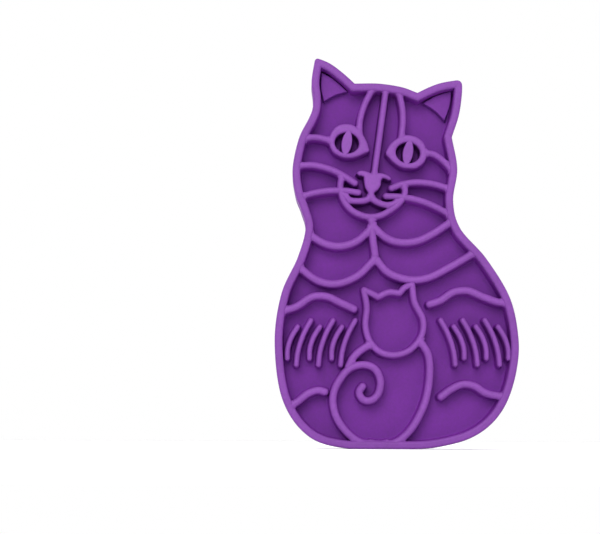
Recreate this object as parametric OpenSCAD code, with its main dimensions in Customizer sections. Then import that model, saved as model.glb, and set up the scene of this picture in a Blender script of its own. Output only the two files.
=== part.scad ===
// Hand-held rubber curry comb in the shape of a sitting cat, for grooming cats.
// Millimetres. It stands on its foot with +Z up, its face looks along -Y and its
// bristles point along +Y. The origin is on the floor, below the middle of the comb.
// Left and right are the viewer's, looking at the face.

/* [Body] */
// Height of the comb, from its foot to the taller ear
comb_h = 110; // [100:1:125]
// Thickness of the plate that carries the bristles
plate_t = 4.5; // [3:0.1:6]
// How far the rim stands in front of the plate
rim_h = 6; // [5:0.1:8]
// Width of the rim's land
rim_w = 2.2; // [1.8:0.1:2.6]

/* [Relief] */
// Width of the ribs on the chest and the flanks
rib_w = 2.1; // [1.6:0.1:2.3]
// Width of the whiskers, stripes and mouth lines
fine_rib_w = 1.8; // [1.4:0.1:2]
// Width of the short strokes of fur
fur_w = 1.5; // [1.2:0.1:1.8]
// How far the tops of the ribs lie behind the rim's land
rib_drop = 0.2; // [0.1:0.1:1]
// Height of the pads in the ears
ear_pad_h = 2.6; // [2:0.1:5]

/* [Bristles] */
// Length of a bristle, from the plate's back to its tip
bristle_l = 21; // [15:0.5:26]
// Diameter of a bristle where it leaves the plate
bristle_base_d = 7.2; // [6:0.1:7.6]
// Diameter of a bristle's tip
bristle_tip_d = 2.6; // [2:0.1:4]
// Diameter of the dimple in a bristle's tip, at its mouth
dimple_d = 1.5; // [1:0.1:1.8]
// Distance between bristles in one column
row_pitch = 15; // [14.6:0.1:15.2]
// Distance between neighbouring columns
column_pitch = 12.8; // [12.4:0.1:12.9]

/* [Hidden] */
rubber = "#8a44ab";
rubber_shade = "#6f3091";

// The drawing of the cat is made for a comb of this height
drawn_h = 110;
k = comb_h / drawn_h;

comb_depth = rim_h + plate_t + bristle_l;
y_land = -comb_depth / 2;
y_floor = y_land + rim_h;
y_back = y_floor + plate_t;
rib_h = rim_h - rib_drop;

span_steps = 5;
cap_steps = 8;
oval_steps = 40;
left_tip_round = 0.9;
right_tip_round = 1.4;
dimple_deep = 0.5;
dimple_end_d = 0.9;
round_fn = 48;

// Outline of the cat as [x, z], counter-clockwise, in stretches that are smooth.
// Each stretch ends where the next begins, at an ear tip, an ear's root or the right cheek.
left_ear_tip = [-23.1, 110.6];
right_cheek = [15.6, 87.8];
right_ear_tip = [18.6, 104.4];
right_ear_root = [5.9, 100.5];
left_ear_root = [-11.9, 103.1];
outline_stretches = [
    [left_ear_tip, [-24.1, 104], [-23.7, 99.4], [-23.8, 96], [-24.9, 93], [-27.7, 87.2],
     [-29.4, 78.5], [-28.5, 71.3], [-26.9, 66.9],
     [-25.7, 61.5], [-27.9, 53.4], [-32.4, 43.2], [-34.2, 29.5], [-31.9, 13.5], [-24.5, 3.4],
     [-13, 0], [4.5, 0], [12.5, 0.8], [20.4, 3.1], [26.4, 7.2], [30.7, 13.3], [33.4, 22],
     [34, 31], [31.7, 42.3], [25.1, 53.4], [17.9, 61.8], [15.9, 69.6], [17.1, 78.7], right_cheek],
    [right_cheek, [17.6, 94], [18.5, 100], right_ear_tip],
    [right_ear_tip, [13.2, 103.5], [9.6, 102.3], right_ear_root],
    [right_ear_root, [1.5, 102.1], [-5, 103.1], left_ear_root],
    [left_ear_root, [-15.2, 106.1], [-19, 108.9], left_ear_tip]
];

// The face is drawn upright about the point between the eyes, then tilted
face_centre = [-5.4, 85];
face_tilt = -9;
eye_spacing = 17.5;
eye_hole = [6.9, 5.9];
// How far the hole's middle lies below the middle of the eye
eye_drop = 0.3;
// The eyes' surrounds, from the inner corner over the top and back. Both are drawn as left eyes.
eye_surround_l = [
    [6.7, -1.6], [5.7, 0.6], [4.2, 2.7], [2.2, 4.5], [-0.5, 5.1], [-3.6, 3.9],
    [-5.2, 0.3], [-3.9, -3], [-1.2, -4.4], [1.4, -4.4], [3.6, -3.6], [5, -2.7], [6.7, -1.6]
];
eye_surround_r = [
    [6.2, -0.9], [5.5, 1], [4.4, 2.5], [2.8, 3.9], [0.8, 4.7], [-1.7, 4.5], [-3.8, 3.3],
    [-5.2, 1], [-5.4, -0.4], [-4.8, -2.4], [-3.1, -4.1], [-1, -4.7], [1.5, -4.6],
    [3.7, -3.6], [5, -2.6], [6, -1.8], [6.2, -0.9]
];
pupil_w = 2.9;
// Height of the lens that a pupil is cut from
pupil_h = 8.4;

// Centrelines of the ribs on the face
stripe_left = [[-5.9, 103], [-8.7, 98], [-10.3, 93], [-10.5, 89]];
stripe_centre = [[-2.8, 103], [-4.6, 89.7], [-6.4, 76.5]];
stripe_right = [[0.3, 102], [1.5, 97], [1.8, 92.6], [1.3, 87]];
temple_left = [[-28.8, 85.2], [-26, 87.2], [-22.5, 87.7], [-17, 86.3]];
temple_right = [[7, 83.4], [10.4, 83], [13.4, 80.9], [17, 76.6]];
whisker_upper_l = [[-29.5, 79.4], [-24, 79.8], [-19, 78.7], [-15.4, 77], [-11.8, 74.7]];
whisker_lower_l = [[-28, 70.2], [-24, 71.7], [-19, 72.5], [-14.5, 72.5], [-10.8, 72]];
whisker_upper_r = [[-1.4, 73.3], [1.5, 74.4], [5.8, 75], [10.9, 74.4], [16.8, 72.4]];
whisker_lower_r = [[-3, 71], [1.5, 70.8], [6.8, 69.7], [11.8, 67.6], [16.8, 64.6]];
muzzle = [
    [-15.5, 76.7], [-15.9, 73.4], [-15, 69.9], [-12.8, 67.1], [-9.8, 65.5],
    [-7.2, 65.1], [-4.4, 65.6], [-1.4, 67.3], [1, 69.4], [2.3, 71.8], [2.2, 74.2]
];
lip_left = [[-15.2, 71.7], [-13.2, 69.9], [-11, 69.6], [-8.9, 69.8], [-7.4, 70.5]];
lip_right = [[-7.4, 70.5], [-5, 69.1], [-2.8, 68.5], [-0.6, 68.9], [1.2, 70]];
nose_outline = [
    [-11.3, 77.4], [-10.6, 78.1], [-9, 78.1], [-6.9, 77.4], [-4.5, 77.5], [-2.7, 77],
    [-1.6, 76], [-2.1, 75.5], [-3.7, 76.1], [-4.4, 75.4], [-4.5, 74.1], [-5.3, 72.8],
    [-6.3, 71.9], [-6.3, 70.2], [-8.1, 70.2], [-8.1, 72], [-8.9, 73.5], [-9.2, 75.2],
    [-9.4, 76.5], [-10.6, 76.8]
];

// Centrelines of the ribs on the chest and the flanks
chest_line = [[-7, 64.6], [-6.8, 60], [-6.1, 54.3]];
scallop_upper_l = [[-26.3, 61.9], [-23.3, 59.2], [-19.7, 57.3], [-15.6, 56.8], [-11.1, 58.3], [-7, 62]];
scallop_upper_r = [[-6.6, 62.4], [-3, 59.2], [1.2, 57.9], [6, 58.4], [10.8, 60.8], [16.7, 64.8]];
scallop_lower_l = [[-29.3, 53.3], [-26.5, 50.1], [-21.9, 46.9], [-16.8, 46.2], [-11.1, 48.4], [-6, 53.3]];
scallop_lower_r = [[-5.5, 52.7], [-2.3, 49.3], [3.2, 47.4], [8.6, 47.9], [14.2, 50.6], [23.5, 56]];
wave_upper_l = [[-33.5, 38], [-28.2, 39.7], [-23.9, 42.4], [-19.7, 42.6], [-15.9, 40.9], [-12, 39.1]];
wave_upper_r = [[9.2, 40.5], [12.3, 41.6], [15.9, 43.9], [20, 44.3], [24.5, 42.5], [28.9, 41.1], [33, 41.2]];
wave_lower_l = [[-31.2, 10.9], [-27.9, 13], [-25.1, 15.2], [-22.3, 16.3], [-20.1, 15.9]];
wave_lower_r = [[12.3, 14.6], [15.3, 16.8], [18.5, 18.1], [21.7, 17.6], [25.3, 15.5], [32, 14.4]];

// The kitten on the belly: a closed head, a round back and a curled tail
kitten_head_stretches = [
    [[-9.2, 44.4], [-8.4, 39.5], [-8.8, 34.6], [-7.7, 30.3], [-4.9, 27.2], [-0.9, 26.2],
     [3.6, 27.6], [6.9, 31.6], [7.3, 36.2], [5, 41], [4.3, 46]],
    [[4.3, 46], [2.3, 45.2], [0.8, 43.6]],
    [[0.8, 43.6], [-2.3, 43.8], [-5.3, 42.5]],
    [[-5.3, 42.5], [-7.2, 43.5], [-9.2, 44.4]]
];
kitten_back_left = [[-7, 29.4], [-10.1, 27.5], [-12.3, 25.3], [-13.5, 22.9]];
kitten_back_right = [
    [6, 30.9], [8.8, 26.2], [9.1, 19.8], [7.9, 13.3], [5.2, 7.4], [2, 3.5], [-1.5, 1.4], [-6, 0.8]
];
kitten_tail_curl = [
    [-4.5, 0.8], [-9.5, 1.6], [-13.5, 4.2], [-16.5, 8.1], [-17.8, 12.3], [-17.5, 16.1], [-15.6, 19.8],
    [-12.9, 22.6], [-9.2, 23.5], [-6.1, 22.3], [-4.6, 19.1], [-5, 15.9], [-6.4, 14], [-8.3, 13.4],
    [-9.9, 14.2], [-10.5, 15.9], [-9.6, 17.4]
];

// Pads in the ears, with a curved lower edge
ear_pad_l = [
    [[-21.3, 106.9], [-17.7, 104.8], [-13.9, 101.4]],
    [[-13.9, 101.4], [-17.4, 100.3], [-20.6, 98.5]],
    [[-20.6, 98.5], [-21.4, 102.3], [-21.3, 106.9]]
];
ear_pad_r = [
    [[15.8, 101.7], [15.3, 97.4], [13.8, 93.1]],
    [[13.8, 93.1], [11, 95.9], [7.7, 98.1]],
    [[7.7, 98.1], [11.3, 100.2], [15.8, 101.7]]
];

// Short strokes of fur on each flank: leaning arcs, alternately long and short
fur_count = 6;
fur_pitch = 3.1;
fur_start_l = [-29.2, 29.6];
fur_start_r = [29.8, 29.8];
fur_long = 12.4;
fur_short = 8.8;
fur_lean = 18;
fur_bulge = 0.9;

// Rows and columns of the bristles, from the lowest left
first_column_x = -27.4;
first_row_z = 8;
rows_in_column = [3, 7, 6, 7, 3];
row_shift = [0.5, 0, 0.5, 0, 0.5];
bristle_places = [
    for (c = [0:len(rows_in_column) - 1], r = [0:rows_in_column[c] - 1])
        k * [first_column_x + c * column_pitch, first_row_z + (r + row_shift[c]) * row_pitch]
];
function two_digits(n) = str(n < 10 ? "0" : "", n);
bristle_names = [for (n = [1:len(bristle_places)]) str("bristle_", two_digits(n))];

relief_names = [
    "ear_pad_left", "ear_pad_right",
    "forehead_stripe_left", "forehead_stripe_centre", "forehead_stripe_right",
    "eye_ring_left", "eye_ring_right", "pupil_left", "pupil_right",
    "temple_rib_left", "temple_rib_right",
    "whisker_upper_left", "whisker_upper_right",
    "whisker_lower_left", "whisker_lower_right",
    "nose", "upper_lip", "muzzle_rib",
    "chest_centre_rib", "chest_scallop_upper_left", "chest_scallop_upper_right",
    "chest_scallop_lower_left", "chest_scallop_lower_right",
    "kitten_head", "kitten_body", "kitten_tail",
    "flank_wave_upper_left", "flank_wave_upper_right",
    "flank_wave_lower_left", "flank_wave_lower_right",
    "fur_strokes_left", "fur_strokes_right"
];

// A smooth curve that passes through every point of a path
function knot(path, i) =
    i < 0 ? 2 * path[0] - path[1] :
    i >= len(path) ? 2 * path[len(path) - 1] - path[len(path) - 2] :
    path[i];
function between(a, b, c, d, t) =
    (2 * b + (c - a) * t + (2 * a - 5 * b + 4 * c - d) * t^2 + (3 * b - a - 3 * c + d) * t^3) / 2;
function smooth(path) = [
    for (i = [0:len(path) - 2], s = [0:span_steps - 1])
        between(knot(path, i - 1), path[i], path[i + 1], knot(path, i + 2), s / span_steps),
    path[len(path) - 1]
];

// A closed loop of smooth stretches that meet at corners
function without_last(path) = [for (i = [0:len(path) - 2]) path[i]];
function loop(stretches) = [for (s = stretches) each without_last(smooth(s))];
function above_floor(path) = [for (p = path) [p.x, max(p.y, 0)]];

// Points beside a path, at a distance to its left
function direction(a, b) = (b - a) / norm(b - a);
function left_of(v) = [-v.y, v.x];
function beside(path, distance) = [
    for (i = [0:len(path) - 1])
        path[i] + distance * left_of(direction(path[max(i - 1, 0)], path[min(i + 1, len(path) - 1)]))
];
function backwards(path) = [for (i = [len(path) - 1:-1:0]) path[i]];

// Half a turn about a point, from its left round to its right
function half_turn(centre, radius, ahead) = [
    for (s = [1:cap_steps - 1])
        let (a = 180 * s / cap_steps)
        centre + radius * (cos(a) * left_of(ahead) + sin(a) * ahead)
];

// A closed loop moved inwards, with its corners kept sharp
function wrap(path, i) = path[(i + len(path)) % len(path)];
function mitred(path, i, distance) =
    let (n0 = left_of(direction(wrap(path, i - 1), path[i])),
         n1 = left_of(direction(path[i], wrap(path, i + 1))))
    path[i] + distance * (n0 + n1) / (1 + n0 * n1);
function edge_gap(p, a, b) =
    let (t = max(0, min(1, (p - a) * (b - a) / ((b - a) * (b - a)))))
    norm(p - a - t * (b - a));
function clearance(p, path) = min([for (i = [0:len(path) - 1]) edge_gap(p, path[i], wrap(path, i + 1))]);
function inset(path, distance) = [
    for (i = [0:len(path) - 1])
        let (p = mitred(path, i, distance))
        if (clearance(p, path) > abs(distance) - 0.02) p
];

// A closed loop with one corner rounded, where the corner is the point nearest to a place
function rounded_corner(path, corner, radius) = [
    for (i = [0:len(path) - 1])
        let (p = path[i])
        if (norm(p - corner) > 0.01) p
        else
            let (u = direction(p, wrap(path, i - 1)),
                 v = direction(p, wrap(path, i + 1)),
                 half = acos(u * v) / 2,
                 centre = p + radius / sin(half) * direction([0, 0], u + v),
                 reach = radius / tan(half))
            each [for (s = [0:cap_steps])
                let (chord = u * (1 - s / cap_steps) + v * s / cap_steps)
                centre + radius * direction(centre, p + reach * chord)]
];

outline = k * above_floor(loop(outline_stretches));
outer_edge = rounded_corner(
    rounded_corner(outline, k * left_ear_tip, left_tip_round), k * right_ear_tip, right_tip_round);
inner_edge = inset(outline, rim_w);

// A rib of even width along a path, with round ends
module line(path, width) {
    p = k * smooth(path);
    last = len(p) - 1;
    polygon(concat(
        backwards(beside(p, width / 2)),
        backwards(half_turn(p[0], width / 2, -direction(p[0], p[1]))),
        beside(p, -width / 2),
        backwards(half_turn(p[last], width / 2, direction(p[last - 1], p[last])))));
}

// A slab of the children's shape that stands forwards from a plane across Y
module slab(y, thickness) {
    translate([0, y, 0])
        rotate([90, 0, 0])
            linear_extrude(thickness)
                children();
}

// A raised shape on the floor of the face, kept inside the rim
module relief(height = rib_h) {
    color(rubber)
        slab(y_floor, height)
            intersection() {
                polygon(inner_edge);
                children();
            }
}

// Places a shape drawn for the left eye: side is -1 for the left and 1 for the right
module at_eye(side) {
    translate(k * face_centre)
        rotate(face_tilt)
            translate([side * k * eye_spacing / 2, 0])
                mirror([side > 0 ? 1 : 0, 0])
                    scale(k)
                        children();
}

module eye_surround_shape(side) {
    polygon(without_last(smooth(side < 0 ? eye_surround_l : eye_surround_r)));
}

module eye_hole_shape() {
    polygon([
        for (i = [0:oval_steps - 1])
            let (a = 360 * i / oval_steps)
            [eye_hole.x / 2 * cos(a), eye_hole.y / 2 * sin(a) - eye_drop]
    ]);
}

module fur_strokes(start, side) {
    for (i = [0:fur_count - 1]) {
        long = (i % 2 == 1 ? fur_long : fur_short) / 2;
        x = start.x - side * i * fur_pitch;
        line([for (s = [-1:0.5:1])
            [x + side * (fur_bulge * (1 - s^2) - s * long * tan(fur_lean)), start.y + s * long]], fur_w);
    }
}

module whiskers() {
    line(whisker_upper_l, fine_rib_w);
    line(whisker_lower_l, fine_rib_w);
    line(whisker_upper_r, fine_rib_w);
    line(whisker_lower_r, fine_rib_w);
}

module kitten_head_loop() {
    middle = k * loop(kitten_head_stretches);
    difference() {
        polygon(inset(middle, -fine_rib_w / 2));
        polygon(inset(middle, fine_rib_w / 2));
    }
}

module kitten_head_filled() {
    polygon(inset(k * loop(kitten_head_stretches), -fine_rib_w / 2));
}

module back_plate() {
    color(rubber_shade)
        slab(y_back, plate_t)
            polygon(outer_edge);
}

module rim_wall() {
    color(rubber)
        slab(y_floor, rim_h)
            difference() {
                polygon(outer_edge);
                polygon(inner_edge);
            }
}

module ear_pad_left() {
    relief(ear_pad_h) polygon(k * loop(ear_pad_l));
}

module ear_pad_right() {
    relief(ear_pad_h) polygon(k * loop(ear_pad_r));
}

module forehead_stripe_left() {
    relief() difference() {
        line(stripe_left, fine_rib_w);
        at_eye(-1) eye_surround_shape(-1);
    }
}

module forehead_stripe_centre() {
    relief() difference() {
        line(stripe_centre, fine_rib_w);
        polygon(k * smooth(nose_outline));
    }
}

module forehead_stripe_right() {
    relief() difference() {
        line(stripe_right, fine_rib_w);
        at_eye(1) eye_surround_shape(1);
    }
}

module eye_ring(side) {
    relief() at_eye(side) difference() {
        eye_surround_shape(side);
        eye_hole_shape();
    }
}

// A pupil is where two circles overlap, cut to the hole that it stands in
module pupil(side) {
    lens_r = ((pupil_h / 2)^2 + (pupil_w / 2)^2) / pupil_w;
    shift = lens_r - pupil_w / 2;
    relief() at_eye(side) intersection() {
        eye_hole_shape();
        translate([-shift, -eye_drop]) circle(lens_r, $fn = round_fn);
        translate([shift, -eye_drop]) circle(lens_r, $fn = round_fn);
    }
}

module temple_rib_left() {
    relief() difference() {
        line(temple_left, fine_rib_w);
        at_eye(-1) eye_surround_shape(-1);
    }
}

module temple_rib_right() {
    relief() difference() {
        line(temple_right, fine_rib_w);
        at_eye(1) eye_surround_shape(1);
    }
}

module whisker_upper_left() {
    relief() line(whisker_upper_l, fine_rib_w);
}

module whisker_upper_right() {
    relief() line(whisker_upper_r, fine_rib_w);
}

module whisker_lower_left() {
    relief() line(whisker_lower_l, fine_rib_w);
}

module whisker_lower_right() {
    relief() line(whisker_lower_r, fine_rib_w);
}

module nose() {
    relief() polygon(k * smooth(nose_outline));
}

module muzzle_rib() {
    relief() difference() {
        line(muzzle, fine_rib_w);
        whiskers();
    }
}

module upper_lip() {
    relief() difference() {
        union() {
            line(lip_left, fine_rib_w);
            line(lip_right, fine_rib_w);
        }
        polygon(k * smooth(nose_outline));
        line(muzzle, fine_rib_w);
        whiskers();
    }
}

module chest_centre_rib() {
    relief() difference() {
        line(chest_line, rib_w);
        line(muzzle, fine_rib_w);
        line(scallop_lower_l, rib_w);
        line(scallop_lower_r, rib_w);
    }
}

module chest_scallop_upper_left() {
    relief() difference() {
        line(scallop_upper_l, rib_w);
        line(chest_line, rib_w);
    }
}

module chest_scallop_upper_right() {
    relief() difference() {
        line(scallop_upper_r, rib_w);
        line(chest_line, rib_w);
        line(whisker_lower_r, fine_rib_w);
    }
}

module chest_scallop_lower_left() {
    relief() line(scallop_lower_l, rib_w);
}

module chest_scallop_lower_right() {
    relief() difference() {
        line(scallop_lower_r, rib_w);
        line(scallop_lower_l, rib_w);
    }
}

module kitten_head() {
    relief() difference() {
        kitten_head_loop();
        line(scallop_lower_r, rib_w);
    }
}

module kitten_tail() {
    relief() line(kitten_tail_curl, rib_w);
}

module kitten_body() {
    relief() difference() {
        union() {
            line(kitten_back_left, rib_w);
            line(kitten_back_right, rib_w);
        }
        kitten_head_filled();
        line(kitten_tail_curl, rib_w);
    }
}

module flank_wave(path) {
    relief() line(path, rib_w);
}

// One tapered bristle, with a dimple moulded in its tip
module bristle(place) {
    color(rubber)
        translate([place.x, y_back, place.y])
            rotate([-90, 0, 0])
                difference() {
                    cylinder(h = bristle_l, d1 = bristle_base_d, d2 = bristle_tip_d, $fn = round_fn);
                    translate([0, 0, bristle_l - dimple_deep])
                        cylinder(h = 2 * dimple_deep, d1 = dimple_end_d,
                            d2 = 2 * dimple_d - dimple_end_d, $fn = round_fn);
                }
}

back_plate();
rim_wall();
ear_pad_left();
ear_pad_right();
forehead_stripe_left();
forehead_stripe_centre();
forehead_stripe_right();
eye_ring(-1);  // eye_ring_left
eye_ring(1);  // eye_ring_right
pupil(-1);  // pupil_left
pupil(1);  // pupil_right
temple_rib_left();
temple_rib_right();
whisker_upper_left();
whisker_upper_right();
whisker_lower_left();
whisker_lower_right();
nose();
upper_lip();
muzzle_rib();
chest_centre_rib();
chest_scallop_upper_left();
chest_scallop_upper_right();
chest_scallop_lower_left();
chest_scallop_lower_right();
kitten_head();
kitten_body();
kitten_tail();
flank_wave(wave_upper_l);  // flank_wave_upper_left
flank_wave(wave_upper_r);  // flank_wave_upper_right
flank_wave(wave_lower_l);  // flank_wave_lower_left
flank_wave(wave_lower_r);  // flank_wave_lower_right
relief() fur_strokes(fur_start_l, -1);  // fur_strokes_left
relief() fur_strokes(fur_start_r, 1);  // fur_strokes_right
for (n = [0:len(bristle_places) - 1])
    bristle(bristle_places[n]);
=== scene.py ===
"""The looks of a moulded rubber curry comb in the shape of a sitting cat.

Every feature of the moulding is a piece of its own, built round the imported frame: a plate, the rim
round its face, the raised drawing on the face, and the tapered bristles on its back.
The drawing is in millimetres, as [x, z]. Heights are above the floor of the face, towards the viewer.
"""

import math

import bmesh
import bpy
import numpy as np
from mathutils import Euler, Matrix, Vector


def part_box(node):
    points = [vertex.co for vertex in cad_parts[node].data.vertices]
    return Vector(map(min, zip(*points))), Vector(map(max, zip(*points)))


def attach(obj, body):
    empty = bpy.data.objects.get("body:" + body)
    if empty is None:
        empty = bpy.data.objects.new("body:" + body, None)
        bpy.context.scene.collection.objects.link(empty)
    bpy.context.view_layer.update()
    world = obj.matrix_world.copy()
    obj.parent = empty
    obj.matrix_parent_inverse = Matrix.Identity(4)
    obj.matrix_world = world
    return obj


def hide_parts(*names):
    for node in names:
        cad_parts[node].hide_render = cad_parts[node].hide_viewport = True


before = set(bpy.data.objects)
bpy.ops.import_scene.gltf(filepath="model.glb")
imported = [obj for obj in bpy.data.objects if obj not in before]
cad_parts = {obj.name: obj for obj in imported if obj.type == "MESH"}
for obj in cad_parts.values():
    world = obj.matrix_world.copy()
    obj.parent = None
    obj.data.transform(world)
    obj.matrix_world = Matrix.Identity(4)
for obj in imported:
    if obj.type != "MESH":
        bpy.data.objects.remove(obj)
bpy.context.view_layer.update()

MM = 0.001

# Planes of the comb, from the frame
Y_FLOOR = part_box("back_plate")[0].y
Y_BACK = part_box("back_plate")[1].y
Y_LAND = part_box("rim_wall")[0].y
RIM_H = (Y_FLOOR - Y_LAND) / MM
PLATE_T = (Y_BACK - Y_FLOOR) / MM
RIB_H = (Y_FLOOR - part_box("nose")[0].y) / MM
EAR_PAD_H = (Y_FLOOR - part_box("ear_pad_left")[0].y) / MM
DEPTH = (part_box("bristle_01")[1].y - Y_LAND) / MM

# Widths and roundings, in millimetres
RIM_W = 2.2
RIB_W = 2.1
FINE_RIB_W = 1.8
FUR_W = 1.5
LEFT_TIP_ROUND = 0.9
RIGHT_TIP_ROUND = 1.4
RIM_ROUND = 0.65
BACK_ROUND = 0.7
PAD_ROUND = 0.65
PUPIL_ROUND = 0.35
EAR_PAD_ROUND = 0.3

# The top of a rib: how high its crown is, and the power that makes its oval fuller
RIB_CROWN = 1.2
CROWN_FULLNESS = 0.88

# Walls in the recess lean by DRAFT, and a fillet FOOT high runs from them into the floor
DRAFT = 0.18
FOOT = 0.5

# Where a rib's end meets a wall, it widens by a fillet of size BLEND, which fades over FADE inside it
BLEND = 0.65
FADE = 0.5

# How far ribs reach into islands and into the rim, and pieces below the floor and past their fillets
BURY = 0.6
RIM_REACH = 1.5
SINK = 0.3
SKIRT = 0.3

# A step that keeps two faces out of one plane
LIFT = 0.01

# How fine the curves and meshes are: lengths in millimetres, counts, and an angle in degrees
STEP = 0.35
FINE_STEP = 0.1
SUPPORT = 0.12
ARC_STEPS = 5
CROWN_STEPS = 7
CAP_STEPS = 10
EYE_STEPS = 120
PUPIL_STEPS = 24
BRISTLE_SIDES = 40
SHAFT_STEPS = 6
SHARP_ANGLE = 50

# Allowances: the least square of a length, a length in millimetres, a ratio, and two in metres
TINY = 1e-9
NEARLY = 0.02
JUST_OVER = 1.02
MERGE = 2e-7
NO_LENGTH = 1e-7

# A face whose normal's y is below this looks to the front
FRONTWARD = -0.9

# Outline of the cat, counter-clockwise, in stretches that are smooth
LEFT_EAR_TIP = [-23.1, 110.6]
RIGHT_CHEEK = [15.6, 87.8]
RIGHT_EAR_TIP = [18.6, 104.4]
RIGHT_EAR_ROOT = [5.9, 100.5]
LEFT_EAR_ROOT = [-11.9, 103.1]
OUTLINE = [
    [LEFT_EAR_TIP, [-24.1, 104], [-23.7, 99.4], [-23.8, 96], [-24.9, 93], [-27.7, 87.2],
     [-29.4, 78.5], [-28.5, 71.3], [-26.9, 66.9],
     [-25.7, 61.5], [-27.9, 53.4], [-32.4, 43.2], [-34.2, 29.5], [-31.9, 13.5], [-24.5, 3.4],
     [-13, 0], [4.5, 0], [12.5, 0.8], [20.4, 3.1], [26.4, 7.2], [30.7, 13.3], [33.4, 22],
     [34, 31], [31.7, 42.3], [25.1, 53.4], [17.9, 61.8], [15.9, 69.6], [17.1, 78.7], RIGHT_CHEEK],
    [RIGHT_CHEEK, [17.6, 94], [18.5, 100], RIGHT_EAR_TIP],
    [RIGHT_EAR_TIP, [13.2, 103.5], [9.6, 102.3], RIGHT_EAR_ROOT],
    [RIGHT_EAR_ROOT, [1.5, 102.1], [-5, 103.1], LEFT_EAR_ROOT],
    [LEFT_EAR_ROOT, [-15.2, 106.1], [-19, 108.9], LEFT_EAR_TIP],
]

# The eyes are drawn upright about the point between them, then tilted. Both surrounds, for the left
# side (-1) and the right (1), are drawn as left eyes, from the inner corner over the top and back.
SIDES = {"left": -1, "right": 1}
FACE_CENTRE = [-5.4, 85]
FACE_TILT = -9
EYE_SPACING = 17.5
EYE_HOLE_W = 6.9
EYE_HOLE_H = 5.9
EYE_DROP = 0.3
EYE_SURROUNDS = {
    -1: [
        [6.7, -1.6], [5.7, 0.6], [4.2, 2.7], [2.2, 4.5], [-0.5, 5.1], [-3.6, 3.9],
        [-5.2, 0.3], [-3.9, -3], [-1.2, -4.4], [1.4, -4.4], [3.6, -3.6], [5, -2.7], [6.7, -1.6],
    ],
    1: [
        [6.2, -0.9], [5.5, 1], [4.4, 2.5], [2.8, 3.9], [0.8, 4.7], [-1.7, 4.5], [-3.8, 3.3],
        [-5.2, 1], [-5.4, -0.4], [-4.8, -2.4], [-3.1, -4.1], [-1, -4.7], [1.5, -4.6],
        [3.7, -3.6], [5, -2.6], [6, -1.8], [6.2, -0.9],
    ],
}
PUPIL_W = 2.9
PUPIL_H = 8.4
PUPIL_REACH = 0.9

NOSE = [
    [-11.3, 77.4], [-10.6, 78.1], [-9, 78.1], [-6.9, 77.4], [-4.5, 77.5], [-2.7, 77],
    [-1.6, 76], [-2.1, 75.5], [-3.7, 76.1], [-4.4, 75.4], [-4.5, 74.1], [-5.3, 72.8],
    [-6.3, 71.9], [-6.3, 70.2], [-8.1, 70.2], [-8.1, 72], [-8.9, 73.5], [-9.2, 75.2],
    [-9.4, 76.5], [-10.6, 76.8],
]

EAR_PADS = {
    "ear_pad_left": [
        [[-21.3, 106.9], [-17.7, 104.8], [-13.9, 101.4]],
        [[-13.9, 101.4], [-17.4, 100.3], [-20.6, 98.5]],
        [[-20.6, 98.5], [-21.4, 102.3], [-21.3, 106.9]],
    ],
    "ear_pad_right": [
        [[15.8, 101.7], [15.3, 97.4], [13.8, 93.1]],
        [[13.8, 93.1], [11, 95.9], [7.7, 98.1]],
        [[7.7, 98.1], [11.3, 100.2], [15.8, 101.7]],
    ],
}

# Centrelines of the fine ribs, on the cat's face and round the kitten's head
FINE_RIBS = {
    "forehead_stripe_left": [[[-5.9, 103], [-8.7, 98], [-10.3, 93], [-10.5, 89]]],
    "forehead_stripe_centre": [[[-2.8, 103], [-4.6, 89.7], [-6.4, 76.5]]],
    "forehead_stripe_right": [[[0.3, 102], [1.5, 97], [1.8, 92.6], [1.3, 87]]],
    "temple_rib_left": [[[-28.8, 85.2], [-26, 87.2], [-22.5, 87.7], [-17, 86.3]]],
    "temple_rib_right": [[[7, 83.4], [10.4, 83], [13.4, 80.9], [17, 76.6]]],
    "whisker_upper_left": [[[-29.5, 79.4], [-24, 79.8], [-19, 78.7], [-15.4, 77], [-11.8, 74.7]]],
    "whisker_lower_left": [[[-28, 70.2], [-24, 71.7], [-19, 72.5], [-14.5, 72.5], [-10.8, 72]]],
    "whisker_upper_right": [[[-1.4, 73.3], [1.5, 74.4], [5.8, 75], [10.9, 74.4], [16.8, 72.4]]],
    "whisker_lower_right": [[[-3, 71], [1.5, 70.8], [6.8, 69.7], [11.8, 67.6], [16.8, 64.6]]],
    "muzzle_rib": [[
        [-15.5, 76.7], [-15.9, 73.4], [-15, 69.9], [-12.8, 67.1], [-9.8, 65.5],
        [-7.2, 65.1], [-4.4, 65.6], [-1.4, 67.3], [1, 69.4], [2.3, 71.8], [2.2, 74.2],
    ]],
    "upper_lip": [
        [[-15.2, 71.7], [-13.2, 69.9], [-11, 69.6], [-8.9, 69.8], [-7.4, 70.5]],
        [[-7.4, 70.5], [-5, 69.1], [-2.8, 68.5], [-0.6, 68.9], [1.2, 70]],
    ],
    "kitten_head": [
        [[-9.2, 44.4], [-8.4, 39.5], [-8.8, 34.6], [-7.7, 30.3], [-4.9, 27.2], [-0.9, 26.2],
         [3.6, 27.6], [6.9, 31.6], [7.3, 36.2], [5, 41], [4.3, 46]],
        [[4.3, 46], [2.3, 45.2], [0.8, 43.6]],
        [[0.8, 43.6], [-2.3, 43.8], [-5.3, 42.5]],
        [[-5.3, 42.5], [-7.2, 43.5], [-9.2, 44.4]],
    ],
}

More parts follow.
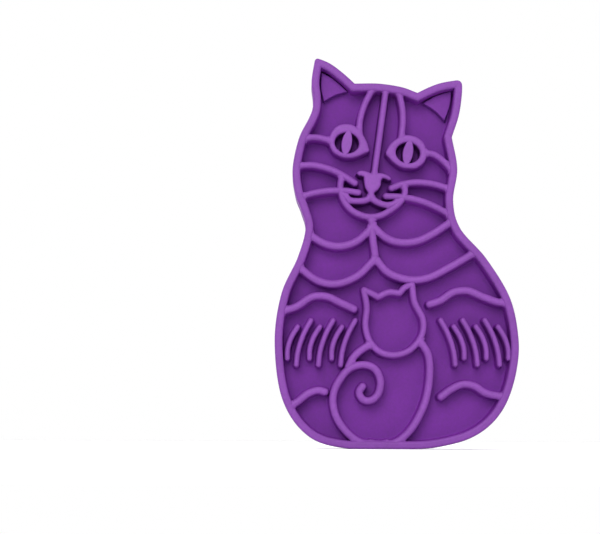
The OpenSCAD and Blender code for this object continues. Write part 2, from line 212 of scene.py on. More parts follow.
# Centrelines of the other ribs, on the chest, the flanks and the belly
BROAD_RIBS = {
    "chest_centre_rib": [[[-7, 64.6], [-6.8, 60], [-6.1, 54.3]]],
    "chest_scallop_upper_left": [[
        [-26.3, 61.9], [-23.3, 59.2], [-19.7, 57.3], [-15.6, 56.8], [-11.1, 58.3], [-7, 62]]],
    "chest_scallop_upper_right": [[
        [-6.6, 62.4], [-3, 59.2], [1.2, 57.9], [6, 58.4], [10.8, 60.8], [16.7, 64.8]]],
    "chest_scallop_lower_left": [[
        [-29.3, 53.3], [-26.5, 50.1], [-21.9, 46.9], [-16.8, 46.2], [-11.1, 48.4], [-6, 53.3]]],
    "chest_scallop_lower_right": [[
        [-5.5, 52.7], [-2.3, 49.3], [3.2, 47.4], [8.6, 47.9], [14.2, 50.6], [23.5, 56]]],
    "flank_wave_upper_left": [[
        [-33.5, 38], [-28.2, 39.7], [-23.9, 42.4], [-19.7, 42.6], [-15.9, 40.9], [-12, 39.1]]],
    "flank_wave_upper_right": [[
        [9.2, 40.5], [12.3, 41.6], [15.9, 43.9], [20, 44.3], [24.5, 42.5], [28.9, 41.1], [33, 41.2]]],
    "flank_wave_lower_left": [[
        [-31.2, 10.9], [-27.9, 13], [-25.1, 15.2], [-22.3, 16.3], [-20.1, 15.9]]],
    "flank_wave_lower_right": [[
        [12.3, 14.6], [15.3, 16.8], [18.5, 18.1], [21.7, 17.6], [25.3, 15.5], [32, 14.4]]],
    "kitten_body": [
        [[-7, 29.4], [-10.1, 27.5], [-12.3, 25.3], [-13.5, 22.9]],
        [[6, 30.9], [8.8, 26.2], [9.1, 19.8], [7.9, 13.3], [5.2, 7.4], [2, 3.5], [-1.5, 1.4], [-6, 0.8]],
    ],
    "kitten_tail": [[
        [-4.5, 0.8], [-9.5, 1.6], [-13.5, 4.2], [-16.5, 8.1], [-17.8, 12.3], [-17.5, 16.1], [-15.6, 19.8],
        [-12.9, 22.6], [-9.2, 23.5], [-6.1, 22.3], [-4.6, 19.1], [-5, 15.9], [-6.4, 14],
        [-8.3, 13.4], [-9.9, 14.2], [-10.5, 15.9], [-9.6, 17.4],
    ]],
}

# Ribs that stand in narrow cells, where their walls are darker with painted shade
DEEP_RIBS = ["forehead_stripe_centre", "upper_lip"]

# Strokes of fur on each flank: leaning arcs, alternately short and long
FUR_COUNT = 6
FUR_PITCH = 3.1
FUR_STARTS = {"fur_strokes_left": ([-29.2, 29.6], -1), "fur_strokes_right": ([29.8, 29.8], 1)}
FUR_LONG = 12.4
FUR_SHORT = 8.8
FUR_LEAN = 18
FUR_BULGE = 0.9

# Bristles, in millimetres
BRISTLE_FOOT = 0.9
BRISTLE_TIP_R = 1.3
TIP_ROUND_R = 0.26
DIMPLE_R = 0.78
DIMPLE_ROUND = 0.2
DIMPLE_DEEP = 0.5

# Camera: low, in front and a little to the left of the comb, in metres and degrees
CAMERA_AWAY = 0.5
CAMERA_X = -0.027
CAMERA_Z = 0.0025
CAMERA_PITCH = 5.51
CAMERA_ROLL = -0.22
CAMERA_LENS = 107.5

# Linear colours of the rubber: its own tone first, then copies of it that paint light and shade
TONE = (0.149, 0.037, 0.238)
# A lighter copy of the rubber for the tops of ribs: painted light
LIT_RIB_TONE = (0.164, 0.044, 0.258)
# A darker copy for the pads in the ears: painted shade, as if recessed
SHADED_PAD_TONE = (0.134, 0.025, 0.228)
# A copy for the walls in the recess: painted shade
SHADED_WALL_TONE = (0.165, 0.018, 0.275)
# A darker copy for the walls of narrow cells, eye holes, nose and pupils: painted shade
DEEP_SHADE_TONE = (0.080, 0.007, 0.135)
# A darker copy for the floor of the recess: painted shade
SHADED_FLOOR_TONE = (0.122, 0.019, 0.214)
# A darker copy for the back and the feet of the bristles: painted shade
SHADED_BACK_TONE = (0.110, 0.018, 0.190)
# A paler copy on the back's rounded edge: a painted highlight
EDGE_HIGHLIGHT_TONE = (0.200, 0.065, 0.310)
# A paler copy on the rims of the bristle tips: a painted highlight
TIP_HIGHLIGHT_TONE = (0.300, 0.120, 0.450)
# The stage's own pale colour
STAGE_TONE = (0.93, 0.93, 0.93)

# How rough the rubber is: on tops, sides and bristles, and in the recess and on the back
WORN = 0.46
MATT = 0.68

# Where the tones of the face change, in millimetres behind a rib's top and in front of the floor: below
# the tops, its walls and floor carry painted shade
TOP_ENDS = 0.5
WALL_STARTS = 1.6
WALL_ENDS = 0.6

# Where other tones, with their painted shade and highlights, change: behind an ear pad's top, in front of
# the back, and in front of a tip
PAD_ENDS = 0.1
PAD_FLOOR_STARTS = 0.6
SIDE_ENDS = 0.8
EDGE_HIGHLIGHT_FULL = 0.5
BACK_STARTS = 0.1
BRISTLE_FULL = 8
BRISTLE_ENDS = 0.5
TIP_HIGHLIGHT_FULL = 0.2

# Mottling: the size of its spots in millimetres, and the least and most that they multiply by
CLOUD_SIZE = 14
CLOUD_TINT = (0.95, 1.05)
SPECK_SIZE = 0.9
SPECK_TINT = (0.92, 1.1)
SPECK_ROUGH = (0.88, 1.12)
GRAIN_SIZE = 0.35
GRAIN_DEPTH = 0.03

# The stage and the point that the lights face, in metres, and the strength of light from all round
STAGE_REACH = 6
LIGHT_AIM = (0, 0, 0.055)
AMBIENT = 0.6


# ---------------------------------------------------------------- plane curves

def length_of(vectors):
    return np.sqrt((vectors ** 2).sum(-1, keepdims=True))


def left_of(vectors):
    return np.stack([-vectors[..., 1], vectors[..., 0]], -1)


def smooth(path, step=STEP):
    """A smooth curve that passes through every point of a path."""
    knots = np.array(path, float)
    before = 2 * knots[0] - knots[1]
    after = 2 * knots[-1] - knots[-2]
    knots = np.vstack([before, knots, after])
    curve = []
    for a, b, c, d in zip(knots, knots[1:], knots[2:], knots[3:]):
        count = max(2, math.ceil(np.hypot(*(c - b)) / step))
        for t in np.arange(count) / count:
            square = (2 * a - 5 * b + 4 * c - d) * t ** 2
            cube = (3 * b - a - 3 * c + d) * t ** 3
            curve.append((2 * b + (c - a) * t + square + cube) / 2)
    return np.array(curve + [knots[-2]])


def closed(stretches):
    """A closed loop of smooth stretches that meet at corners."""
    return np.vstack([smooth(stretch)[:-1] for stretch in stretches])


def counter_clockwise(loop):
    x, z = loop[:, 0], loop[:, 1]
    area = (x * np.roll(z, -1) - np.roll(x, -1) * z).sum()
    return loop if area > 0 else loop[::-1]


def gap_to(points, chain):
    """How far each point is from a chain of straight edges."""
    edges = chain[1:] - chain[:-1]
    reach = points[:, None] - chain[None, :-1]
    squares = np.maximum((edges ** 2).sum(1), TINY)
    along = np.clip((reach * edges).sum(2) / squares, 0, 1)
    return np.sqrt(((reach - along[..., None] * edges) ** 2).sum(2)).min(1)


def around(loop):
    return np.vstack([loop, loop[:1]])


def inside(points, loop):
    """True for each point that lies inside a closed loop."""
    x, z = points[:, None, 0], points[:, None, 1]
    a, b = loop[None], np.roll(loop, -1, 0)[None]
    spans = (a[..., 1] > z) != (b[..., 1] > z)
    rise = np.where(b[..., 1] == a[..., 1], 1, b[..., 1] - a[..., 1])
    crossing = a[..., 0] + (z - a[..., 1]) * (b[..., 0] - a[..., 0]) / rise
    return ((spans & (x < crossing)).sum(1) % 2) == 1


def moved_in(loop, distance):
    """A counter-clockwise loop moved inwards, with as many points. Where two sides would cross over,
    points fall together on the nearest one that still has its distance from the loop."""
    if distance == 0:
        return loop.copy()
    ahead = np.roll(loop, -1, 0) - loop
    normal = left_of(ahead / length_of(ahead))
    earlier = np.roll(normal, 1, 0)
    lean = 1 + (normal * earlier).sum(1, keepdims=True)
    moved = loop + distance * (normal + earlier) / lean
    good = np.flatnonzero(gap_to(moved, around(loop)) > abs(distance) - NEARLY)
    count = len(loop)
    away = np.abs(np.arange(count)[:, None] - good[None])
    nearest = good[np.minimum(away, count - away).argmin(1)]
    return moved[nearest]


def with_round_corner(loop, corner, radius):
    """A counter-clockwise loop with one sharp corner rounded."""
    at = int(length_of(loop - np.array(corner)).argmin())
    point = loop[at]
    to_last = loop[at - 1] - point
    to_next = loop[(at + 1) % len(loop)] - point
    u = to_last / np.hypot(*to_last)
    v = to_next / np.hypot(*to_next)
    half = math.acos(float(u @ v)) / 2
    middle = (u + v) / np.hypot(*(u + v))
    centre = point + radius / math.sin(half) * middle
    reach = radius / math.tan(half)
    keep = length_of(loop - point)[:, 0] > reach * JUST_OVER
    arc = []
    for s in np.linspace(0, 1, 2 * ARC_STEPS + 1):
        chord = (point + reach * u) * (1 - s) + (point + reach * v) * s - centre
        arc.append(centre + radius * chord / np.hypot(*chord))
    order = np.roll(np.arange(len(loop)), -at)
    rest = loop[[i for i in order if keep[i]]]
    return np.vstack([rest, np.array(arc)])


outline = closed(OUTLINE)
outline[:, 1] = np.maximum(outline[:, 1], 0)
outer_edge = with_round_corner(outline, LEFT_EAR_TIP, LEFT_TIP_ROUND)
outer_edge = with_round_corner(outer_edge, RIGHT_EAR_TIP, RIGHT_TIP_ROUND)
inner_edge = moved_in(outer_edge, RIM_W)
rim_middle = moved_in(outer_edge, RIM_W / 2)


# ---------------------------------------------------------------- pieces from rings

def quarter(start, end, bulge_first):
    """Points of a quarter of an oval from one (distance, height) to another, both ends included.
    It leaves along the distance if bulge_first is True, and along the height if not."""
    points = []
    for s in range(ARC_STEPS + 1):
        angle = math.pi / 2 * s / ARC_STEPS
        fast, slow = math.sin(angle), 1 - math.cos(angle)
        over, up = (fast, slow) if bulge_first else (slow, fast)
        points.append((start[0] + (end[0] - start[0]) * over, start[1] + (end[1] - start[1]) * up))
    return points


def wall_between(low, high):
    """Points near both ends of a straight wall from one (distance, height) to another, which keep the
    roundings next to it from bending its shading."""
    length = math.hypot(high[0] - low[0], high[1] - low[1])
    shares = (SUPPORT / length, 1 - SUPPORT / length)
    return [(low[0] + (high[0] - low[0]) * s, low[1] + (high[1] - low[1]) * s) for s in shares]


def ring_at(loop, height):
    """A loop of the drawing, as points in the frame at a height above the floor of the face."""
    y = Y_FLOOR - height * MM
    return [Vector((x * MM, y, z * MM)) for x, z in loop]


def add_rings(bm, rings, tube=False, caps=False):
    """Skins rings that have as many points each. A tube joins the last ring to the first."""
    rows = [[bm.verts.new(point) for point in ring] for ring in rings]
    pairs = list(zip(rows, rows[1:]))
    if tube:
        pairs.append((rows[-1], rows[0]))
    for row, other in pairs:
        for i in range(len(row)):
            bm.faces.new((row[i - 1], row[i], other[i], other[i - 1]))
    if caps:
        bm.faces.new(rows[0])
        bm.faces.new(reversed(rows[-1]))


def piece_from(name, bm, material):
    """Finishes a mesh, and has it stand for the CAD node of the same name."""
    bmesh.ops.remove_doubles(bm, verts=bm.verts, dist=MERGE)
    bmesh.ops.dissolve_degenerate(bm, edges=bm.edges, dist=NO_LENGTH)
    bmesh.ops.recalc_face_normals(bm, faces=bm.faces)
    mesh = bpy.data.meshes.new(name)
    bm.to_mesh(mesh)
    bm.free()
    mesh.shade_smooth()
    mesh.set_sharp_from_angle(angle=math.radians(SHARP_ANGLE))
    mesh.materials.append(material)
    piece = bpy.data.objects.new(name + "_rubber", mesh)
    bpy.context.scene.collection.objects.link(piece)
    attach(piece, "root")
    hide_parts(name)
    return piece


def use_on(piece, material, faces):
    """Gives a piece's chosen faces a material of their own."""
    piece.data.materials.append(material)
    for face, chosen in zip(piece.data.polygons, faces):
        face.material_index = int(chosen)


def faces_inside(piece, loop):
    """True for each of a piece's faces that lies inside a loop of the drawing."""
    centres = [(face.center.x / MM, face.center.z / MM) for face in piece.data.polygons]
    return inside(np.array(centres), loop)


def foot_profile(start):
    """(distance, height) up a foot's fillet, from its skirt under the floor to the wall it blends
    into. The wall's base is at start, and distance grows towards the open floor."""
    end = start + DRAFT + FOOT
    skirt = [(end + SKIRT, -SINK), (end + SKIRT, 0)]
    return skirt + quarter((end, LIFT), (start + DRAFT, FOOT), True)


def raised_pad(name, loop, height, rounding, material, filleted=True):
    """A raised island with a flat top and a rounded edge, and with or without a fillet at its foot."""
    loop = counter_clockwise(loop)
    profile = [(-DRAFT, -SINK), (-DRAFT, 0)]
    if filleted:
        profile = [(-out, up) for out, up in foot_profile(0)]
    profile += wall_between(profile[-1], (0, height - rounding))
    profile += quarter((0, height - rounding), (rounding, height), False)
    profile += [(rounding + SUPPORT, height)]
    bm = bmesh.new()
    add_rings(bm, [ring_at(moved_in(loop, d), h) for d, h in profile], caps=True)
    return piece_from(name, bm, material)


# ---------------------------------------------------------------- ribs

def rib_profile():
    """(spread, share, height) of a rib's side, from under its foot to the middle of its top:
    the distance from the centreline is spread plus share times half the rib's width."""
    side = foot_profile(0) + wall_between((DRAFT, FOOT), (0, RIB_H - RIB_CROWN))
    crown = []
    for s in range(CROWN_STEPS + 1):
        angle = math.pi / 2 * s / CROWN_STEPS
        share = max(math.cos(angle), 0) ** CROWN_FULLNESS
        rise = math.sin(angle) ** CROWN_FULLNESS
        crown.append((0, share, RIB_H - RIB_CROWN * (1 - rise)))
    return [(0, 0, -SINK)] + [(spread, 1, level) for spread, level in side] + crown


def across(points):
    """The unit vector to the left of a centreline at each point."""
    ahead = np.gradient(points, axis=0)
    return left_of(ahead / length_of(ahead))


def around_stroke(points, right_half, left_half):
    """The closed line at its own distance from each side of a centreline, with round ends."""
    normal = across(points)
    right = points - right_half[:, None] * normal
    left = points + left_half[:, None] * normal
    turn = np.pi * np.arange(1, CAP_STEPS)[:, None] / CAP_STEPS
    caps = []
    for start, end in ((right[-1], left[-1]), (left[0], right[0])):
        middle = (start + end) / 2
        arm = start - middle
        caps.append(middle + np.cos(turn) * arm + np.sin(turn) * left_of(arm))
    return np.vstack([right, caps[0], left[::-1], caps[1]])


def blended_side(points, normal, width, walls):
    """Half the width of a rib on one side. It widens like a fillet where an end runs into a wall.
    Each wall is a function that says how far a point is outside it."""
    edge = points + normal * width / 2
    extra = np.zeros(len(points))
    run = np.arange(len(points))
    for wall in walls:
        buried = wall(points[[0, -1]]) < 0
        if not buried.any():
            continue
        gap = wall(edge)
        near = BLEND - np.clip(gap, 0, BLEND)
        fillet = BLEND - np.sqrt(BLEND ** 2 - near ** 2)
        fillet *= np.clip(1 + gap / FADE, 0, 1)
        first = run < len(points) / 2
        reached = np.where(first, buried[0], buried[1])
        extra = np.maximum(extra, fillet * reached)
    return width / 2 + extra


def trimmed(points, islands):
    """The part of a centreline that is outside every island and inside the rim. Its ends are buried
    a little in the islands, and deep in the rim."""
    points = points[rim_inside(points) > -RIM_REACH]
    for island in islands:
        points = points[island(points) > -BURY]
    return points


def held_back(loop):
    """A loop with every point that is past the middle of the rim moved back to that middle."""
    far = ~inside(loop, rim_middle)
    nearest = length_of(loop[:, None] - rim_middle[None])[..., 0].argmin(1)
    return np.where(far[:, None], rim_middle[nearest], loop)


def rib_wall(points, width):
    return lambda places: gap_to(places, points) - width / 2


def island_wall(loop):
    return lambda places: np.where(inside(places, loop), -1, 1) * gap_to(places, around(loop))


def rim_inside(places):
    return -island_wall(inner_edge)(places)


def ribs(name, strokes, width, walls, material):
    """One or more ribs as one piece."""
    bm = bmesh.new()
    for points in strokes:
        right = blended_side(points, -across(points), width, walls)
        left = blended_side(points, across(points), width, walls)
        rings = []
        for spread, share, height in rib_profile():
            loop = around_stroke(points, spread + share * right, spread + share * left)
            rings.append(ring_at(held_back(loop), height))
        add_rings(bm, rings)
    return piece_from(name, bm, material)


def fur_strokes(start, side):
    """Centrelines of the strokes of fur on one flank: side is -1 for the left and 1 for the right."""
    strokes = []
    for i in range(FUR_COUNT):
        half = (FUR_LONG if i % 2 else FUR_SHORT) / 2
        x = start[0] - side * i * FUR_PITCH
        lean = half * math.tan(math.radians(FUR_LEAN))
        path = [
            [x + side * (FUR_BULGE * (1 - s * s) - s * lean), start[1] + s * half]
            for s in (-1, -0.5, 0, 0.5, 1)
        ]
        strokes.append(smooth(path))
    return strokes


# ---------------------------------------------------------------- eyes

def at_eye(loop, side):
    """Places a loop drawn for the left eye: side is -1 for the left and 1 for the right."""
    tilt = math.radians(FACE_TILT)
    turn = np.array([[math.cos(tilt), math.sin(tilt)], [-math.sin(tilt), math.cos(tilt)]])
    flat = loop.copy()
    if side > 0:
        flat[:, 0] *= -1
        flat = flat[::-1]
    flat[:, 0] += side * EYE_SPACING / 2
    return flat @ turn + FACE_CENTRE


def eye_angles():
    return 2 * np.pi * np.arange(EYE_STEPS) / EYE_STEPS


def eye_hole():
    angle = eye_angles()
    height = EYE_HOLE_H / 2 * np.sin(angle) - EYE_DROP
    return np.stack([EYE_HOLE_W / 2 * np.cos(angle), height], 1)


def eye_surround(side):
    """The surround's edge, counter-clockwise, with a point on each of the hole's own rays."""
    edge = smooth(EYE_SURROUNDS[side], FINE_STEP)
    bearing = np.arctan2(edge[:, 1], edge[:, 0]) % (2 * np.pi)
    order = bearing.argsort()
    radius = np.interp(eye_angles(), bearing[order], length_of(edge[order])[:, 0], period=2 * np.pi)
    flat = radius[:, None] * np.stack([np.cos(eye_angles()), np.sin(eye_angles())], 1)
    return at_eye(flat, side)


def eye_ring(name, side, material, shaded_hole_material):
    """The raised ring round an eye, whose hole has a material of its own, with painted shade on its
    walls.
    """
    surround = eye_surround(side)
    hole = at_eye(eye_hole(), side)
    outer = [(-distance, height) for distance, height in foot_profile(0)]
    outer += wall_between(outer[-1], (0, RIB_H - PAD_ROUND))
    outer += quarter((0, RIB_H - PAD_ROUND), (PAD_ROUND, RIB_H), False)
    rings = [ring_at(moved_in(surround, distance), height) for distance, height in outer]
    inner = [(-distance, height) for distance, height in reversed(outer)]
    rings += [ring_at(moved_in(hole, distance), height) for distance, height in inner]
    bm = bmesh.new()
    add_rings(bm, rings, tube=True)
    piece = piece_from(name, bm, material)
    use_on(piece, shaded_hole_material, faces_inside(piece, moved_in(hole, -PAD_ROUND)))
    return piece


def pupil_loop(side):
    """A pupil is where two circles overlap. Its ends run into the ring."""
    half_w, half_h = PUPIL_W / 2, PUPIL_H / 2
    radius = (half_h ** 2 + half_w ** 2) / (2 * half_w)
    shift = radius - half_w
    reach = math.asin((EYE_HOLE_H / 2 + PUPIL_REACH) / radius)
    angle = np.linspace(-reach, reach, PUPIL_STEPS + 1)
    right = np.stack([radius * np.cos(angle) - shift, radius * np.sin(angle)], 1)
    return at_eye(np.vstack([right, -right]) - [0, EYE_DROP], side)


# ---------------------------------------------------------------- plate, rim and bristles

def plate(material, shaded_floor_material):
    """The plate. Its face is the floor of the recess, and its back edge is rounded."""
    profile = [(SUPPORT, 0), (0, 0)]
    profile += wall_between((0, 0), (0, BACK_ROUND - PLATE_T))
    profile += quarter((0, BACK_ROUND - PLATE_T), (BACK_ROUND, -PLATE_T), False)
    profile += [(BACK_ROUND + SUPPORT, -PLATE_T)]
    bm = bmesh.new()
    add_rings(bm, [ring_at(moved_in(outer_edge, d), h) for d, h in profile], caps=True)
    piece = piece_from("back_plate", bm, material)
    # The floor of the recess takes the face's rubber, with its painted shade
    use_on(piece, shaded_floor_material, [face.normal.y < FRONTWARD for face in piece.data.polygons])
    return piece


def rim(material, outer_material):
    """The rim: its outer wall carries on from the plate's, and its inner one runs into the floor."""
    profile = [(SINK, -SINK), (0, 0)]
    profile += wall_between((0, 0), (0, RIM_H - RIM_ROUND))
    profile += quarter((0, RIM_H - RIM_ROUND), (RIM_ROUND, RIM_H), False)
    profile += [(RIM_ROUND + SUPPORT, RIM_H), (RIM_W - RIM_ROUND - SUPPORT, RIM_H)]
    profile += quarter((RIM_W - RIM_ROUND, RIM_H), (RIM_W, RIM_H - RIM_ROUND), True)
    profile += wall_between((RIM_W, RIM_H - RIM_ROUND), (RIM_W + DRAFT, FOOT))
    profile += reversed(foot_profile(RIM_W))
    bm = bmesh.new()
    add_rings(bm, [ring_at(moved_in(outer_edge, d), h) for d, h in profile], tube=True)
    piece = piece_from("rim_wall", bm, outer_material)
    # The rim's inner half takes the face's rubber, with painted shade on its inner wall and foot
    use_on(piece, material, faces_inside(piece, rim_middle))
    return piece


def bristle_profile(base_r, length):
    """(radius, distance behind the plate's back) from under the foot, over the tip into its dimple."""
    def cone(back):
        return base_r + (BRISTLE_TIP_R - base_r) * back / length

    wide = base_r + BRISTLE_FOOT / 2
    lip = DIMPLE_R - DIMPLE_ROUND
    profile = [(0, -SINK), (wide, -SINK)]
    profile += quarter((wide, 0), (cone(BRISTLE_FOOT), BRISTLE_FOOT), True)
    shaft = np.linspace(BRISTLE_FOOT, length - TIP_ROUND_R, SHAFT_STEPS + 1)[1:-1]
    profile += [(cone(back), back) for back in shaft]
    profile += quarter((cone(length), length - TIP_ROUND_R), (BRISTLE_TIP_R - TIP_ROUND_R, length), False)
    profile += quarter((DIMPLE_R, length), (lip, length - DIMPLE_ROUND), True)
    profile += quarter((lip, length - DIMPLE_ROUND), (0, length - DIMPLE_DEEP), False)[1:]
    return profile


def bristle(name, material):
    """A tapered bristle where the frame has it, with a fillet at its foot and a dimple in its tip."""
    low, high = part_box(name)
    centre = (low + high) / 2
    base_r = (high.x - low.x) / 2 / MM
    length = (high.y - low.y) / MM
    angle = 2 * np.pi * np.arange(BRISTLE_SIDES) / BRISTLE_SIDES
    rings = []
    for radius, back in bristle_profile(base_r, length):
        across = centre.x + radius * MM * np.cos(angle)
        up = centre.z + radius * MM * np.sin(angle)
        rings.append([Vector((x, low.y + back * MM, z)) for x, z in zip(across, up)])
    bm = bmesh.new()
    add_rings(bm, rings)
    return piece_from(name, bm, material)


# ---------------------------------------------------------------- materials

def noise(tree, coords, size, detail, roughness=0.5):
    """Noise whose spots are about a given size in millimetres. Its roughness is that of its detail."""
    node = tree.nodes.new("ShaderNodeTexNoise")
    node.inputs["Scale"].default_value = 1 / (size * MM)
    node.inputs["Detail"].default_value = detail
    node.inputs["Roughness"].default_value = roughness
    tree.links.new(coords.outputs["Object"], node.inputs["Vector"])
    return node.outputs["Fac"]


def spread_over(tree, value, low, high, to_low, to_high):
    """A value between low and high, spread over another range."""
    node = tree.nodes.new("ShaderNodeMapRange")
    node.inputs["From Min"].default_value = low
    node.inputs["From Max"].default_value = high
    node.inputs["To Min"].default_value = to_low
    node.inputs["To Max"].default_value = to_high
    tree.links.new(value, node.inputs["Value"])
    return node.outputs["Result"]


def times(tree, value, amount):
    """Two values that differ from place to place, multiplied."""
    node = tree.nodes.new("ShaderNodeMath")
    node.operation = "MULTIPLY"
    tree.links.new(value, node.inputs[0])
    tree.links.new(amount, node.inputs[1])
    return node.outputs["Value"]


def tinted(tree, colour, amount):
    """A colour times an amount that differs from place to place."""
    node = tree.nodes.new("ShaderNodeMix")
    node.data_type = "RGBA"
    node.blend_type = "MULTIPLY"
    node.inputs["Factor"].default_value = 1
    tree.links.new(colour, node.inputs["A"])
    tree.links.new(amount, node.inputs["B"])
    return node.outputs["Result"]


def by_depth(tree, coords, stops):
    """A ramp of colour through the comb, with roughness for its alpha. Each stop is (how far behind
    the rim's land in millimetres, colour, roughness), and the stops start at the front."""
    # The colour ramp paints shade and highlights by depth
    split = tree.nodes.new("ShaderNodeSeparateXYZ")
    tree.links.new(coords.outputs["Object"], split.inputs["Vector"])
    ramp = tree.nodes.new("ShaderNodeValToRGB")
    risen = spread_over(tree, split.outputs["Y"], Y_LAND, Y_LAND + DEPTH * MM, 0, 1)
    tree.links.new(risen, ramp.inputs["Fac"])
    elements = ramp.color_ramp.elements
    for element, (back, colour, roughness) in zip(elements, (stops[0], stops[-1])):
        element.position = back / DEPTH
        element.color = (*colour, roughness)
    for back, colour, roughness in stops[1:-1]:
        elements.new(back / DEPTH).color = (*colour, roughness)
    return ramp.outputs["Color"], ramp.outputs["Alpha"]


def rubber(name, stops):
    """Moulded rubber: faint mottling, fine grain, and a colour and roughness that go with depth. The
    colour by depth paints shade and highlights.
    """
    material = bpy.data.materials.new(name)
    material.use_nodes = True
    tree = material.node_tree
    shader = tree.nodes["Principled BSDF"]
    coords = tree.nodes.new("ShaderNodeTexCoord")
    colour, roughness = by_depth(tree, coords, stops)
    cloud = spread_over(tree, noise(tree, coords, CLOUD_SIZE, 3), 0.35, 0.65, *CLOUD_TINT)
    speck = noise(tree, coords, SPECK_SIZE, 4, 0.65)
    pale = spread_over(tree, speck, 0.3, 0.7, *SPECK_TINT)
    dull = spread_over(tree, speck, 0.3, 0.7, *SPECK_ROUGH)
    tree.links.new(tinted(tree, colour, times(tree, cloud, pale)), shader.inputs["Base Color"])
    tree.links.new(times(tree, roughness, dull), shader.inputs["Roughness"])
    shader.inputs["IOR"].default_value = 1.5
    shader.inputs["Specular IOR Level"].default_value = 0.15
    bump = tree.nodes.new("ShaderNodeBump")
    bump.inputs["Strength"].default_value = 0.6
    bump.inputs["Distance"].default_value = GRAIN_DEPTH * MM
    tree.links.new(noise(tree, coords, GRAIN_SIZE, 3), bump.inputs["Height"])
    tree.links.new(bump.outputs["Normal"], shader.inputs["Normal"])
    return material


# ---------------------------------------------------------------- the comb

def face_rubber(name, top_tone, shaded_wall_tone):
    """Rubber for the face: its raised tops, walls and floor have tones of their own, with painted shade
    on the walls and floor.
    """
    top = RIM_H - RIB_H
    return rubber(name, [
        (top + TOP_ENDS, top_tone, WORN), (top + WALL_STARTS, shaded_wall_tone, MATT),
        (RIM_H - WALL_ENDS, shaded_wall_tone, MATT), (RIM_H, SHADED_FLOOR_TONE, MATT)])


def pad_rubber():
    """Rubber for the pads in the ears, darkened by painted shade, which takes on the floor's painted
    shade at their edges.
    """
    top = RIM_H - EAR_PAD_H
    return rubber("pad_rubber_purple", [
        (top + PAD_ENDS, SHADED_PAD_TONE, MATT), (top + PAD_FLOOR_STARTS, SHADED_FLOOR_TONE, MATT)])


def side_rubber():
    """Rubber for the outside, with a painted highlight as a paler line round the edge of a back darkened
    by painted shade.
    """
    back = RIM_H + PLATE_T
    return rubber("body_rubber_purple", [
        (back - SIDE_ENDS, TONE, WORN), (back - EDGE_HIGHLIGHT_FULL, EDGE_HIGHLIGHT_TONE, WORN),
        (back - BACK_STARTS, SHADED_BACK_TONE, MATT)])


def bristle_rubber():
    """Rubber for the bristles, darkened by painted shade at the foot as the back is, and paler on the rim
    of the tip with a painted highlight.
    """
    return rubber("bristle_rubber_purple", [
        (RIM_H + PLATE_T, SHADED_BACK_TONE, MATT), (DEPTH - BRISTLE_FULL, TONE, WORN),
        (DEPTH - BRISTLE_ENDS, TONE, WORN), (DEPTH - TIP_HIGHLIGHT_FULL, TIP_HIGHLIGHT_TONE, WORN)])


def build_islands(drawn, deep):
    """The pads in the ears, the nose and the eyes. The nose, pupils and eye holes have painted shade on
    their walls.
    """
    pad = pad_rubber()
    for name, stretches in EAR_PADS.items():
        raised_pad(name, closed(stretches), EAR_PAD_H, EAR_PAD_ROUND, pad, filleted=False)
    raised_pad("nose", smooth(NOSE), RIB_H, PAD_ROUND, deep)
    for name, side in SIDES.items():
        eye_ring("eye_ring_" + name, side, drawn, deep)
        raised_pad("pupil_" + name, pupil_loop(side), RIB_H - LIFT, PUPIL_ROUND, deep)


def drawn_lines():
    """The centrelines of each rib that is drawn point by point, and its width, by its name."""
    lines = {}
    for drawing, width in ((FINE_RIBS, FINE_RIB_W), (BROAD_RIBS, RIB_W)):
        for name, paths in drawing.items():
            lines[name] = ([smooth(path) for path in paths], width)
    return lines


def build_ribs(drawn, deep):
    """The ribs. They stop at the islands, and widen where they meet the rim or each other."""
    lines = drawn_lines()
    eyes_and_nose = [island_wall(eye_surround(side)) for side in SIDES.values()]
    eyes_and_nose.append(island_wall(smooth(NOSE)))
    kitten_face = island_wall(moved_in(closed(FINE_RIBS["kitten_head"]), -FINE_RIB_W / 2))
    for name, (strokes, width) in lines.items():
        islands = eyes_and_nose + [kitten_face] if name == "kitten_body" else eyes_and_nose
        others = [line for other, line in lines.items() if other != name]
        walls = [rim_inside] + islands
        walls += [rib_wall(points, other_w) for paths, other_w in others for points in paths]
        # Ribs in narrow cells take rubber with darker painted shade on their walls; the others have
        # lighter tops, painted light
        material = deep if name in DEEP_RIBS else drawn
        ribs(name, [trimmed(points, islands) for points in strokes], width, walls, material)
    for name, (start, side) in FUR_STARTS.items():
        ribs(name, fur_strokes(start, side), FUR_W, [], drawn)


def build_comb():
    # Face rubbers: painted shade on walls and floor, lighter rib tops as painted light, darker painted
    # shade in narrow cells
    face = face_rubber("face_rubber_purple", TONE, SHADED_WALL_TONE)
    drawn = face_rubber("drawn_rubber_purple", LIT_RIB_TONE, SHADED_WALL_TONE)
    deep = face_rubber("deep_shade_rubber_purple", LIT_RIB_TONE, DEEP_SHADE_TONE)
    sides = side_rubber()
    bristles = bristle_rubber()
    plate(sides, face)
    rim(face, sides)
    build_islands(drawn, deep)
    build_ribs(drawn, deep)
    for name in sorted(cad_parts):
        if name.startswith("bristle_"):
            bristle(name, bristles)


# ---------------------------------------------------------------- stage, lights and camera

def stage():
    """A wide, pale floor."""
    bm = bmesh.new()
    bmesh.ops.create_grid(bm, x_segments=8, y_segments=8, size=STAGE_REACH)
    mesh = bpy.data.meshes.new("stage")
    bm.to_mesh(mesh)
    bm.free()
    material = bpy.data.materials.new("stage_paper")
    material.use_nodes = True
    shader = material.node_tree.nodes["Principled BSDF"]
    shader.inputs["Base Color"].default_value = (*STAGE_TONE, 1)
    shader.inputs["Roughness"].default_value = 0.9
    shader.inputs["Specular IOR Level"].default_value = 0.1
    mesh.materials.append(material)
    floor = bpy.data.objects.new("stage", mesh)
    bpy.context.scene.collection.objects.link(floor)


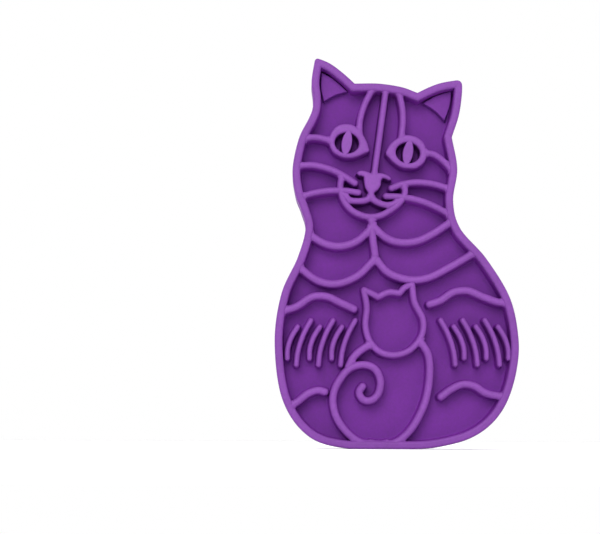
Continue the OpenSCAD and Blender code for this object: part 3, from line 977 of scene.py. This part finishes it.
def sun(name, place, spread, strength):
    """Even light from one side of the sky, with soft shadows."""
    light = bpy.data.lights.new(name, "SUN")
    light.angle = math.radians(spread)
    light.energy = strength
    holder = bpy.data.objects.new(name, light)
    holder.rotation_euler = (-Vector(place)).to_track_quat("-Z", "Y").to_euler()
    bpy.context.scene.collection.objects.link(holder)


def softbox(name, place, size, watts):
    """A square area light that faces the middle of the comb."""
    light = bpy.data.lights.new(name, "AREA")
    light.shape = "SQUARE"
    light.size = size
    light.energy = watts
    holder = bpy.data.objects.new(name, light)
    holder.location = place
    aim = Vector(LIGHT_AIM) - Vector(place)
    holder.rotation_euler = aim.to_track_quat("-Z", "Y").to_euler()
    bpy.context.scene.collection.objects.link(holder)


def studio_world():
    """Soft light from all round, behind which the camera sees plain white."""
    world = bpy.data.worlds.new("studio")
    world.use_nodes = True
    tree = world.node_tree
    ambient = tree.nodes["Background"]
    ambient.inputs["Color"].default_value = (1, 1, 1, 1)
    ambient.inputs["Strength"].default_value = AMBIENT
    backdrop = tree.nodes.new("ShaderNodeBackground")
    backdrop.inputs["Color"].default_value = (1, 1, 1, 1)
    path = tree.nodes.new("ShaderNodeLightPath")
    pick = tree.nodes.new("ShaderNodeMixShader")
    tree.links.new(path.outputs["Is Camera Ray"], pick.inputs["Fac"])
    tree.links.new(ambient.outputs["Background"], pick.inputs[1])
    tree.links.new(backdrop.outputs["Background"], pick.inputs[2])
    tree.links.new(pick.outputs["Shader"], tree.nodes["World Output"].inputs["Surface"])
    bpy.context.scene.world = world


def lights():
    """A broad key from the front, weak light from above, and boxes beside and behind the comb."""
    studio_world()
    sun("key", (-0.25, -1.5, 0.6), spread=36, strength=2.35)
    sun("top", (0, -0.3, 1.0), spread=60, strength=0.7)
    softbox("side", (0.8, -0.3, 0.5), size=0.4, watts=2)
    softbox("back_key", (-0.75, 0.5, 0.65), size=0.4, watts=8)
    bpy.context.scene.view_settings.view_transform = "Standard"


def camera():
    data = bpy.data.cameras.new("camera")
    data.lens = CAMERA_LENS
    holder = bpy.data.objects.new("camera", data)
    holder.location = (CAMERA_X, Y_LAND - CAMERA_AWAY, CAMERA_Z)
    tilt = Euler((math.radians(90 + CAMERA_PITCH), math.radians(CAMERA_ROLL), 0))
    holder.rotation_euler = tilt
    bpy.context.scene.collection.objects.link(holder)
    bpy.context.scene.camera = holder


camera()
stage()
lights()
build_comb()
